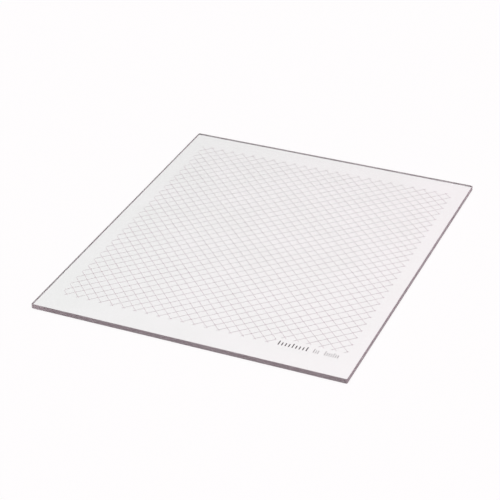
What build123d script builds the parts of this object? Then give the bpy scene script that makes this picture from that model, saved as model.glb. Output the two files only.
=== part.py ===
from build123d import *
from math import ceil, cos, hypot, radians, sin
import os

# Slot-in photographic net filter: a flat clear resin plate with a fine diamond net printed
# on its top face. Sizes are in millimetres. The origin is at the middle of the underside,
# X runs across the slot width, Y runs from the marked front edge to the back edge, and +Z
# points up, out of the printed face.

# Plate: cast sheet, cut to the holder's slot width, corners rounded, edges ground and eased
plate_width = 84.0
plate_length = 100.0
plate_thickness = 1.3
corner_radius = 0.4
edge_ease = 0.12

# Net area: the plain border left on each side of it
border_left = 4.65
border_right = 3.7
border_front = 7.0
border_back = 6.9

# Net lines: two sets of parallel lines that cross at a right angle
line_pitch = 2.276
line_width = 0.12
line_angle = 45.0
ink_thickness = 0.02

# Where one crossing of the two sets lies, from the middle of the plate
crossing_x = -0.54
crossing_y = -0.77

# Index ticks: a plain printed scale in the front right corner, a bold row and two fine rows
ticks_from_right = 5.2
ticks_from_front = 7.1
long_tick = 1.75
short_tick = 1.3
bold_count = 9
bold_pitch = 0.9
bold_width = 0.28
fine_width = 0.12
fine_pitch = 0.55
fine_count_near = 3
fine_count_far = 7
row_gap = 1.6
ticks_per_long = 4

# Plain space kept between the ticks and the net
clear_beside_ticks = 1.1
clear_above_ticks = 1.1

# Edges of the net area and of the rows of ticks, in the plate's frame
net_left = border_left - plate_width / 2
net_right = plate_width / 2 - border_right
net_front = border_front - plate_length / 2
net_back = plate_length / 2 - border_back

ticks_right = plate_width / 2 - ticks_from_right
ticks_front = ticks_from_front - plate_length / 2
far_row_left = ticks_right - fine_width - (fine_count_far - 1) * fine_pitch
near_row_left = far_row_left - row_gap - fine_width - (fine_count_near - 1) * fine_pitch
bold_row_left = near_row_left - row_gap - bold_width - (bold_count - 1) * bold_pitch

notch_left = bold_row_left - clear_beside_ticks
notch_back = ticks_front + long_tick + clear_above_ticks

first_pass_base = plate_thickness
second_pass_base = plate_thickness + ink_thickness


def clear_plate():
    """Flat plate with rounded corners and a small easing all round both faces."""
    outline = RectangleRounded(plate_width, plate_length, corner_radius)
    plate = extrude(outline, plate_thickness)
    rims = plate.faces().sort_by(Axis.Z)
    return fillet(rims[0].edges() + rims[-1].edges(), edge_ease)


def net_area(base):
    """One layer of ink over the whole net area, with the notch that is left for the ticks."""
    corners = [
        (net_left, net_front),
        (notch_left, net_front),
        (notch_left, notch_back),
        (net_right, notch_back),
        (net_right, net_back),
        (net_left, net_back),
    ]
    outline = make_face(Polyline(*corners, close=True))
    return Pos(0, 0, base) * extrude(outline, ink_thickness)


def net_lines(angle, base):
    """Parallel ink lines at an angle to X, each cut off square at the edge of the net area."""
    area = net_area(base)
    reach = hypot(plate_width, plate_length)
    last = ceil(reach / 2 / line_pitch)
    across_x = -sin(radians(angle))
    across_y = cos(radians(angle))
    lines = []
    for number in range(-last, last + 1):
        x = crossing_x + number * line_pitch * across_x
        y = crossing_y + number * line_pitch * across_y
        bar = Box(2 * reach, line_width, ink_thickness, align=(Align.CENTER, Align.CENTER, Align.MIN))
        kept = Pos(x, y, base) * Rot(0, 0, angle) * bar & area
        if kept:
            lines += kept.solids()
    return lines


def tick_row(left, count, pitch, width):
    """Row of upright ticks on the plate's face, every few of them a long one."""
    ticks = []
    for number in range(count):
        height = short_tick if number % ticks_per_long else long_tick
        tick = Box(width, height, ink_thickness, align=(Align.MIN, Align.MIN, Align.MIN))
        ticks.append(Pos(left + number * pitch, ticks_front, first_pass_base) * tick)
    return ticks


def index_ticks_fine():
    """The two fine rows, one after the other."""
    near_row = tick_row(near_row_left, fine_count_near, fine_pitch, fine_width)
    far_row = tick_row(far_row_left, fine_count_far, fine_pitch, fine_width)
    return near_row + far_row


def write(node, solids):
    """Write one node's solids, one beside the other, to its own STEP file."""
    export_step(Compound(children=solids), os.path.join("parts", node + ".step"))


os.makedirs("parts", exist_ok=True)
write("clear_plate", clear_plate().solids())
write("net_lines_rising", net_lines(line_angle, first_pass_base))
write("net_lines_falling", net_lines(line_angle - 90.0, second_pass_base))
write("index_ticks_bold", tick_row(bold_row_left, bold_count, bold_pitch, bold_width))
write("index_ticks_fine", index_ticks_fine())
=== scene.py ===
import math
import random

import bpy
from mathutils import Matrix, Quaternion, Vector, noise


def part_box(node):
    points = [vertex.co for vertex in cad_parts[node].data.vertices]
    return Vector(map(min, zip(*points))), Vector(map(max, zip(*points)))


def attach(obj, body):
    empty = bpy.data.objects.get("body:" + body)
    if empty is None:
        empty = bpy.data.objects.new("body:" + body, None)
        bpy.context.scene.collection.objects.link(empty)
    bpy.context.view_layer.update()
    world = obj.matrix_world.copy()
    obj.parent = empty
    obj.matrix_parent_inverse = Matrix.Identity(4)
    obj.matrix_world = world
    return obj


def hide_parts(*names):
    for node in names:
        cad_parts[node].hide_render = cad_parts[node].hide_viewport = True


# A slot-in photographic net filter: a clear resin plate with a fine diamond net and rows of
# index ticks printed on its top face, lying flat on a white surface.

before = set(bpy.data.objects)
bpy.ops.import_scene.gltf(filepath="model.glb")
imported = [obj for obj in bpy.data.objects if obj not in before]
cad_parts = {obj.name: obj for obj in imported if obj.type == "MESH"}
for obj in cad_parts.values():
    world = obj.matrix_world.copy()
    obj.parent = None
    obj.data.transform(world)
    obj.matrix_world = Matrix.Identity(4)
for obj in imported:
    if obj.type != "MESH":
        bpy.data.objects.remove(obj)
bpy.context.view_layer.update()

# ---------------------------------------------------------------------------------------
# Clear plate
# A flat sheet of cast optical resin (allyl diglycol carbonate). It is cast between glass, so
# both faces come out polished, and then sawn to the holder's width. The cut edges are ground
# on a fine belt and their rims eased by hand, which leaves them matt and frosted. Their mid
# grey is painted shade: the ground resin is given a grey base colour for the darker look
# the frosted edges take in the light.
# ---------------------------------------------------------------------------------------

MM = 0.001
plate_low, plate_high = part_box("clear_plate")
plate_top = plate_high.z
corner_radius = 0.4 * MM
corner_steps = 8
wall_step = 1.5 * MM
edge_ease = 0.12 * MM
ease_steps = 4
ease_wander = 0.025 * MM
wall_wander = 0.008 * MM
wander_length = 6.0 * MM
rim_shift = 7
plate_smooth_angle = 50
noise_low = 0.3
noise_high = 0.7

resin_ior = 1.498


def linear(hex_colour, alpha=1.0):
    """The linear colour, with alpha, that an sRGB hex value stands for."""
    shares = [int(hex_colour[i : i + 2], 16) / 255 for i in (1, 3, 5)]
    return [s / 12.92 if s <= 0.04045 else ((s + 0.055) / 1.055) ** 2.4 for s in shares] + [alpha]


def add(tree, kind, settings):
    """A new shader node. A setting names a property or an input and gives its value or a socket."""
    node = tree.nodes.new("ShaderNode" + kind)
    for name, value in settings.items():
        if isinstance(value, bpy.types.NodeSocket):
            tree.links.new(value, node.inputs[name])
        elif isinstance(name, str) and hasattr(node, name):
            setattr(node, name, value)
        else:
            node.inputs[name].default_value = value
    return node


def new_material(name):
    """An empty node material and its tree."""
    material = bpy.data.materials.new(name)
    material.use_nodes = True
    material.node_tree.nodes.clear()
    return material, material.node_tree


def mottle(tree, place, size, low, high, detail=2.0):
    """Soft noise with marks of a real size (length, width, height), spread from low to high."""
    scaled = add(tree, "Mapping", {"Vector": place, "Scale": [1 / length for length in size]})
    marks = add(tree, "TexNoise", {"Vector": scaled.outputs[0], "Scale": 1.0, "Detail": detail})
    return add(tree, "MapRange", {
        "Value": marks.outputs[0], "From Min": noise_low, "From Max": noise_high,
        "To Min": low, "To Max": high,
    }).outputs[0]


def tint(tree, share, first, second):
    """A colour between two sRGB hex colours."""
    ends = {"data_type": "RGBA", 0: share, 6: linear(first), 7: linear(second)}
    return add(tree, "Mix", ends).outputs[2]


def outline_points():
    """The plate's outline, anticlockwise, as points with the direction that faces out of it."""
    points = []
    for turn, (side_x, side_y) in enumerate(((1, 1), (-1, 1), (-1, -1), (1, -1))):
        centre = Vector((
            side_x * (plate_high.x - corner_radius), side_y * (plate_high.y - corner_radius),
        ))
        for step in range(corner_steps + 1):
            angle = math.radians(90 * (turn + step / corner_steps))
            out = Vector((math.cos(angle), math.sin(angle)))
            points.append((centre + corner_radius * out, out))
        here, out = points[-1]
        flat = 2 * ((plate_high.y if turn % 2 else plate_high.x) - corner_radius)
        ahead = Vector((-out.y, out.x))
        count = int(flat / wall_step)
        points += [(here + ahead * flat * step / count, out) for step in range(1, count)]
    return points


def plate_ring(side, share):
    """One ring of the wall: side is -1 for the lower rim and 1 for the upper one, share is how
    far round the easing it lies, from the wall (0) to the face (1)."""
    ring = []
    for point, out in outline_points():
        spot = point.to_3d() / wander_length
        ease = edge_ease + ease_wander * noise.noise(spot + Vector((0, 0, rim_shift * side)))
        inset = ease * (1 - math.cos(math.radians(90 * share)))
        inset += wall_wander * (1 + noise.noise(spot * 2)) / 2
        level = plate_top if side > 0 else plate_low.z
        height = level - side * ease * (1 - math.sin(math.radians(90 * share)))
        flat_point = point - out * inset
        ring.append((flat_point.x, flat_point.y, height))
    return ring


def make_piece(name, points, faces, smooth_angle):
    """A mesh that rides on the body, shaded smooth except at edges sharper than the angle."""
    mesh = bpy.data.meshes.new(name)
    mesh.from_pydata(points, [], faces)
    mesh.shade_smooth()
    mesh.set_sharp_from_angle(angle=math.radians(smooth_angle))
    piece = bpy.data.objects.new(name, mesh)
    bpy.context.scene.collection.objects.link(piece)
    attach(piece, "root")
    return piece


def make_plate():
    """The plate: two flat faces, slot 0, and the ground wall with its eased rims, slot 1."""
    rings = [plate_ring(-1, 1 - step / ease_steps) for step in range(ease_steps + 1)]
    rings += [plate_ring(1, step / ease_steps) for step in range(ease_steps + 1)]
    count = len(rings[0])
    points = [point for ring in rings for point in ring]
    last = len(points) - count
    faces = [list(reversed(range(count))), list(range(last, last + count))]
    for row in range(0, last, count):
        for i in range(count):
            j = (i + 1) % count
            faces.append([row + i, row + j, row + count + j, row + count + i])
    piece = make_piece("resin_plate", points, faces, plate_smooth_angle)
    for face in piece.data.polygons:
        face.use_smooth = face.index > 1
        face.material_index = int(face.index > 1)
    return piece


def polished_resin():
    """Cast allyl diglycol carbonate with its moulded gloss: water-clear, with the faint waviness
    of a casting and a few hairline wipe marks that only show in the reflection."""
    material, tree = new_material("polished_cast_resin")
    place = add(tree, "TexCoord", {}).outputs["Object"]
    cloud = mottle(tree, place, (14 * MM, 14 * MM, 14 * MM), 0.0, 1.0)
    swell = mottle(tree, place, (16 * MM, 12 * MM, 12 * MM), 0.0, 1.0, 1.0)
    wipes = mottle(tree, place, (9 * MM, 0.12 * MM, 1 * MM), 0.0, 1.0, 3.0)
    waves = add(tree, "Bump", {"Height": swell, "Strength": 0.35, "Distance": 0.004 * MM})
    marks = add(tree, "Bump", {
        "Height": wipes, "Strength": 0.2, "Distance": 0.0002 * MM, "Normal": waves.outputs[0],
    })
    shader = add(tree, "BsdfPrincipled", {
        "Base Color": tint(tree, cloud, "#FFFFFF", "#FCFDFC"),
        "Normal": marks.outputs[0],
        "IOR": resin_ior,
        "Roughness": 0.0,
        "Transmission Weight": 1.0,
    })
    add(tree, "OutputMaterial", {"Surface": shader.outputs[0]})
    return material


def ground_resin():
    """The same resin, sawn and belt-ground and frosted, with fine marks that run along
    the cut and slow changes of tone where the belt pressed harder. Its mid grey base colour is
    painted shade, for the darker look the frosted edge takes in the light."""
    material, tree = new_material("ground_cast_resin")
    place = add(tree, "TexCoord", {}).outputs["Object"]
    split = add(tree, "SeparateXYZ", {"Vector": place})
    along = add(tree, "Math", {
        "operation": "ADD", 0: split.outputs["X"], 1: split.outputs["Y"],
    })
    run = add(tree, "CombineXYZ", {"X": along.outputs[0], "Z": split.outputs["Z"]}).outputs[0]
    belt = mottle(tree, run, (1.4 * MM, 1 * MM, 0.05 * MM), 0.0, 1.0, 3.0)
    press = mottle(tree, run, (1.6 * MM, 1 * MM, 3 * MM), 0.0, 1.0, 2.0)
    grit = mottle(tree, place, (0.06 * MM, 0.06 * MM, 0.06 * MM), 0.0, 1.0)
    tone = add(tree, "Mix", {"data_type": "FLOAT", 0: 0.65, 2: belt, 3: press}).outputs[0]
    relief = add(tree, "Bump", {"Height": grit, "Strength": 0.5, "Distance": 0.008 * MM})
    lines = add(tree, "Bump", {
        "Height": belt, "Strength": 0.5, "Distance": 0.01 * MM, "Normal": relief.outputs[0],
    })
    shader = add(tree, "BsdfPrincipled", {
        # Painted shade: a mid grey base colour stands in for the darker look of the frosted edge.
        "Base Color": tint(tree, tone, "#AEAEAE", "#C0BFBF"),
        "Roughness": mottle(tree, run, (0.8 * MM, 1 * MM, 0.1 * MM), 0.48, 0.62),
        "Normal": lines.outputs[0],
        "IOR": resin_ior,
        "Transmission Weight": 0.5,
    })
    add(tree, "OutputMaterial", {"Surface": shader.outputs[0]})
    return material


plate = make_plate()
plate.data.materials.append(polished_resin())
plate.data.materials.append(ground_resin())
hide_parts("clear_plate")

# ---------------------------------------------------------------------------------------
# Printed net, first pass
# Thin straight lines of screen ink from front left to back right, laid on the bare face. Their
# mid grey is painted shade, given to the ink as base colour. The film is low and domed, and its
# width breathes a little with the screen's mesh.
# ---------------------------------------------------------------------------------------

net_low, net_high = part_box("net_lines_rising")
tick_low, tick_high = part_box("index_ticks_bold")
film = net_high.z - plate_top
sink = 0.001 * MM
line_pitch = 2.276 * MM
line_half = 0.06 * MM
end_clear = 2 * line_half
width_spread = 0.07
stations_per_cell = 4
clear_beside_ticks = 1.1 * MM
clear_above_ticks = 1.1 * MM
crossing = Vector((-0.54 * MM, -0.77 * MM))
notch_left = tick_low.x - clear_beside_ticks
notch_back = tick_high.y + clear_above_ticks
shoulder = 0.9
row_places = (-1.0, -shoulder, 0.0, shoulder, 1.0)
row_heights = (0.0, 0.9, 1.0, 0.9, 0.0)
rising = Vector((1, 1)).normalized()
falling = Vector((1, -1)).normalized()
line_count = int((net_high - net_low).length / 2 / line_pitch) + 1
net_smooth_angle = 60
ink_ior = 1.5
first_pass_seed = 4


def runs(start, heading):
    """The stretches, from and to, that a row from start keeps inside the net and off the notch."""
    sides = []
    for axis in (0, 1):
        reach = [(edge[axis] - start[axis]) / heading[axis] for edge in (net_low, net_high)]
        sides.append(sorted(reach))
    first = max(side[0] for side in sides)
    last = min(side[1] for side in sides)
    at_left = (notch_left - start.x) / heading.x
    at_back = (notch_back - start.y) / heading.y
    if heading.y < 0:
        kept = [(first, min(last, max(at_left, at_back)))]
    elif at_left < at_back:
        kept = [(first, min(last, at_left)), (max(first, at_back), last)]
    else:
        kept = [(first, last)]
    return [stretch for stretch in kept if stretch[0] < stretch[1]]


def plain_stations(first, last):
    """Half width and height of the first pass along a line: only the screen's breathing."""
    step = line_pitch / stations_per_cell
    for number in range(math.ceil(first / step), math.floor(last / step) + 1):
        half = line_half * random.uniform(1 - width_spread, 1 + width_spread)
        yield number * step, half, film


def ribbon(points, faces, across, heading, side, part, stations):
    """Adds one closed ink line. Each row along it ends where it meets the edge of the net."""
    start = crossing + across * side
    first, last = runs(start, heading)[part]
    count = len(row_places)
    inner = [
        station for station in stations(first, last)
        if first + end_clear < station[0] < last - end_clear
    ]
    loops = [(None, line_half, film), *inner, (None, line_half, film)]
    for order, (place, half, height) in enumerate(loops):
        base = len(points)
        for share, rise in zip(row_places, row_heights):
            row_start = start + across * share * half
            ends = runs(row_start, heading)[part]
            reach = place if place is not None else ends[0 if order == 0 else 1]
            spot = row_start + heading * reach
            level = plate_top + rise * height if rise else plate_top - sink
            points.append((spot.x, spot.y, level))
        if order:
            before = base - count
            for row in range(count):
                ahead = (row + 1) % count
                faces.append([before + row, base + row, base + ahead, before + ahead])
    front = len(points) - count * len(loops)
    faces.append([front + row for row in range(count)])
    faces.append([len(points) - 1 - row for row in range(count)])


def make_net(name, across, heading, stations):
    """Every line of one printing pass, in one piece."""
    points = []
    faces = []
    for number in range(-line_count, line_count + 1):
        side = number * line_pitch
        for part in range(len(runs(crossing + across * side, heading))):
            ribbon(points, faces, across, heading, side, part, stations)
    return make_piece(name, points, faces, net_smooth_angle)


def screen_ink(name, darker, lighter):
    """Thin screen ink, dried matt: a fine grain from the pigment and slow changes of
    density along the lines, as the film comes out thicker or thinner. The grey of its base
    colours is painted shade."""
    material, tree = new_material(name)
    place = add(tree, "TexCoord", {}).outputs["Object"]
    grain = mottle(tree, place, (0.05 * MM, 0.05 * MM, 0.05 * MM), 0.0, 1.0)
    density = mottle(tree, place, (5 * MM, 5 * MM, 5 * MM), 0.0, 1.0)
    tone = add(tree, "Mix", {"data_type": "FLOAT", 0: 0.5, 2: grain, 3: density}).outputs[0]
    relief = add(tree, "Bump", {"Height": grain, "Strength": 0.3, "Distance": 0.003 * MM})
    shader = add(tree, "BsdfPrincipled", {
        "Base Color": tint(tree, tone, darker, lighter),
        "Roughness": mottle(tree, place, (0.3 * MM, 0.3 * MM, 0.3 * MM), 0.55, 0.7),
        "Normal": relief.outputs[0],
        "IOR": ink_ior,
    })
    add(tree, "OutputMaterial", {"Surface": shader.outputs[0]})
    return material


random.seed(first_pass_seed)
first_pass = make_net("net_first_pass", -falling, rising, plain_stations)
# Painted shade: the net ink gets a grey base colour, darker on this pass than on the second.
first_ink = screen_ink("matt_ink_painted_shade_first_pass", "#A8A8A8", "#BABAB9")
first_pass.data.materials.append(first_ink)
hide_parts("net_lines_rising")

# ---------------------------------------------------------------------------------------
# Printed net, second pass
# Lines of the same ink from back left to front right, printed once the first is dry, given a
# lighter grey than the first pass: both greys are painted shade. Each line steps up over the
# ones below it, and wet ink creeps into the corners beside them.
# ---------------------------------------------------------------------------------------

pool_radius = 0.17 * MM
pool_places = (0.0, 0.12, 0.3, 0.6, 1.0)
pool_least = 0.75
pool_most = 1.2
creep_share = 0.8
climb_share = 0.98


def draped_stations(first, last):
    """Half width and height of the second pass, wider and higher beside and over each line."""
    offsets = [line_half + pool_radius * share for share in pool_places]
    offsets = [-offset for offset in reversed(offsets)] + offsets
    for number in range(math.floor(first / line_pitch), math.ceil(last / line_pitch) + 1):
        radius = pool_radius * random.uniform(pool_least, pool_most)
        half = line_half * random.uniform(1 - width_spread, 1 + width_spread)
        for offset in offsets:
            clear = min(pool_radius, abs(offset) - line_half) / pool_radius
            creep = radius * (1 - math.sqrt(1 - (1 - clear) ** 2)) * creep_share
            climb = climb_share * film * (1 - clear) ** 2
            yield number * line_pitch + offset, half + creep, film + climb
        yield (number + 0.5) * line_pitch, half, film


second_pass = make_net("net_second_pass", rising, falling, draped_stations)
# Painted shade: the same ink gets a lighter grey base colour here than on the first pass.
second_ink = screen_ink("matt_ink_painted_shade_second_pass", "#C2C2C2", "#D2D2D1")
second_pass.data.materials.append(second_ink)
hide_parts("net_lines_falling")

# ---------------------------------------------------------------------------------------
# Index ticks
# A plain scale printed in the clear corner: a bold row and two fine rows in dark grey ink,
# put down with a silicone pad, so the film is thin and slightly uneven.
# ---------------------------------------------------------------------------------------


def pad_ink():
    """Dark grey pad-printing ink: satin, with pinholes and a patchy density that show at the
    size of the strokes."""
    material, tree = new_material("dark_grey_pad_ink")
    place = add(tree, "TexCoord", {}).outputs["Object"]
    patches = mottle(tree, place, (0.35 * MM, 0.35 * MM, 0.35 * MM), 0.0, 1.0)
    pinholes = mottle(tree, place, (0.04 * MM, 0.04 * MM, 0.04 * MM), 0.0, 1.0)
    tone = add(tree, "Mix", {"data_type": "FLOAT", 0: 0.35, 2: patches, 3: pinholes}).outputs[0]
    relief = add(tree, "Bump", {"Height": pinholes, "Strength": 0.4, "Distance": 0.003 * MM})
    shader = add(tree, "BsdfPrincipled", {
        "Base Color": tint(tree, tone, "#434345", "#5A5A5C"),
        "Roughness": mottle(tree, place, (0.2 * MM, 0.2 * MM, 0.2 * MM), 0.42, 0.55),
        "Normal": relief.outputs[0],
        "IOR": ink_ior,
    })
    add(tree, "OutputMaterial", {"Surface": shader.outputs[0]})
    return material


dark_ink = pad_ink()
for node in ("index_ticks_bold", "index_ticks_fine"):
    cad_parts[node].material_slots[0].material = dark_ink

# ---------------------------------------------------------------------------------------
# Stage
# A sheet of white paper under a soft sky that is bright overhead and dim near the horizon.
# The paper gives most of its own white to the camera and keeps a faint contact shadow.
# ---------------------------------------------------------------------------------------

floor_gap = 0.05 * MM
floor_half = 3.0
floor_glow = 0.88
sky_level = 1.9
overhead_from = 0.6
overhead_to = 0.95
slant_share = 0.6
slant_from = -0.15
slant_to = 0.18

corners = [(x * floor_half, y * floor_half, -floor_gap) for x, y in ((-1, -1), (1, -1), (1, 1), (-1, 1))]
floor_mesh = bpy.data.meshes.new("floor")
floor_mesh.from_pydata(corners, [], [(0, 1, 2, 3)])
floor = bpy.data.objects.new("floor", floor_mesh)
bpy.context.scene.collection.objects.link(floor)

material, tree = new_material("white_paper")
path = add(tree, "LightPath", {})
looked_at = add(tree, "Math", {
    "operation": "MAXIMUM", 0: path.outputs["Is Camera Ray"], 1: path.outputs["Is Glossy Ray"],
})
glow_share = add(tree, "Math", {"operation": "MULTIPLY", 0: looked_at.outputs[0], 1: floor_glow})
all_share = add(tree, "Math", {
    "operation": "MAXIMUM", 0: glow_share.outputs[0], 1: path.outputs["Is Transmission Ray"],
})
paper = add(tree, "BsdfDiffuse", {"Color": linear("#F6F6F6")})
glow = add(tree, "Emission", {"Color": (1, 1, 1, 1), "Strength": 1.0})
mixed = add(tree, "MixShader", {0: all_share.outputs[0], 1: paper.outputs[0], 2: glow.outputs[0]})
add(tree, "OutputMaterial", {"Surface": mixed.outputs[0]})
floor_mesh.materials.append(material)

world = bpy.data.worlds.new("soft_studio")
bpy.context.scene.world = world
world.use_nodes = True
tree = world.node_tree
tree.nodes.clear()
direction = add(tree, "TexCoord", {}).outputs["Generated"]
split = add(tree, "SeparateXYZ", {"Vector": direction})
overhead = add(tree, "MapRange", {
    "Value": split.outputs["Z"], "From Min": overhead_from, "From Max": overhead_to,
    "interpolation_type": "SMOOTHSTEP",
})
slant = add(tree, "Math", {
    "operation": "MULTIPLY_ADD", 0: split.outputs["Z"], 1: slant_share, 2: split.outputs["X"],
})
across = add(tree, "MapRange", {
    "Value": slant.outputs[0], "From Min": slant_from, "From Max": slant_to,
})
wall = tint(tree, across.outputs[0], "#3C3C3C", "#E6A4C2")
ceiling = add(tree, "Mix", {
    "data_type": "RGBA", 0: overhead.outputs[0], 6: wall, 7: (sky_level, sky_level, sky_level, 1),
})
sky = add(tree, "Background", {"Color": ceiling.outputs[2], "Strength": 1.0})
add(tree, "OutputWorld", {"Surface": sky.outputs[0]})

# ---------------------------------------------------------------------------------------
# Camera
# A long lens from the front right, looking down at the plate, with a slight roll.
# ---------------------------------------------------------------------------------------

camera_target = Vector((-1.77 * MM, -5.41 * MM, plate_top))
camera_distance = 441.3 * MM
camera_azimuth = math.radians(23.57)
camera_elevation = math.radians(31.29)
camera_roll = math.radians(-0.57)
camera_lens = 121.44
camera_sensor = 36.0
camera_near = 0.01

level = math.cos(camera_elevation)
back = Vector((
    math.sin(camera_azimuth) * level, -math.cos(camera_azimuth) * level, math.sin(camera_elevation),
))
camera_data = bpy.data.cameras.new("studio_camera")
camera_data.lens = camera_lens
camera_data.sensor_width = camera_sensor
camera_data.clip_start = camera_near
camera = bpy.data.objects.new("studio_camera", camera_data)
camera.location = camera_target + back * camera_distance
camera.rotation_mode = "QUATERNION"
camera.rotation_quaternion = back.to_track_quat("Z", "Y") @ Quaternion((0, 0, 1), camera_roll)
bpy.context.scene.collection.objects.link(camera)
bpy.context.scene.camera = camera
bpy.context.scene.view_settings.view_transform = "Standard"
